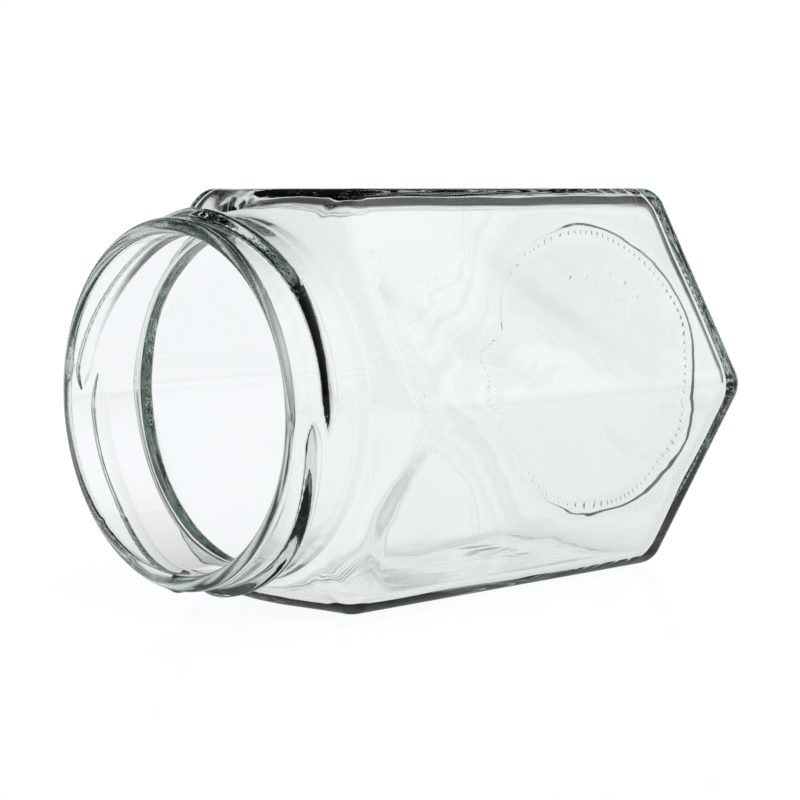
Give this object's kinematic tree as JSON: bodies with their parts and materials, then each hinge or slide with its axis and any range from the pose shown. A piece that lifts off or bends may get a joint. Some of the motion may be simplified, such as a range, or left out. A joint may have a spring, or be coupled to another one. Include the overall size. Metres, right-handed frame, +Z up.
{
  "type": "hexagonal glass jar",
  "caption": "Clear hexagonal glass jar without a lid, lying on a flat, with a round threaded neck, rounded shoulder and slightly hollow base, for honey, jam or other preserves.",
  "frame": {"origin": "on the floor, under the middle of the jar as it lies on one of its flats", "axes": "+X along the jar's axis from the mouth to the base, +Z up, -Y towards the front long edge"},
  "size_m": [0.0982, 0.0774, 0.0685],
  "materials": {
    "clear_glass": "smooth clear glass with a faint green tint in thick places"
  },
  "bodies": {
    "root": {"jar": "clear_glass"}
  },
  "joints": []
}
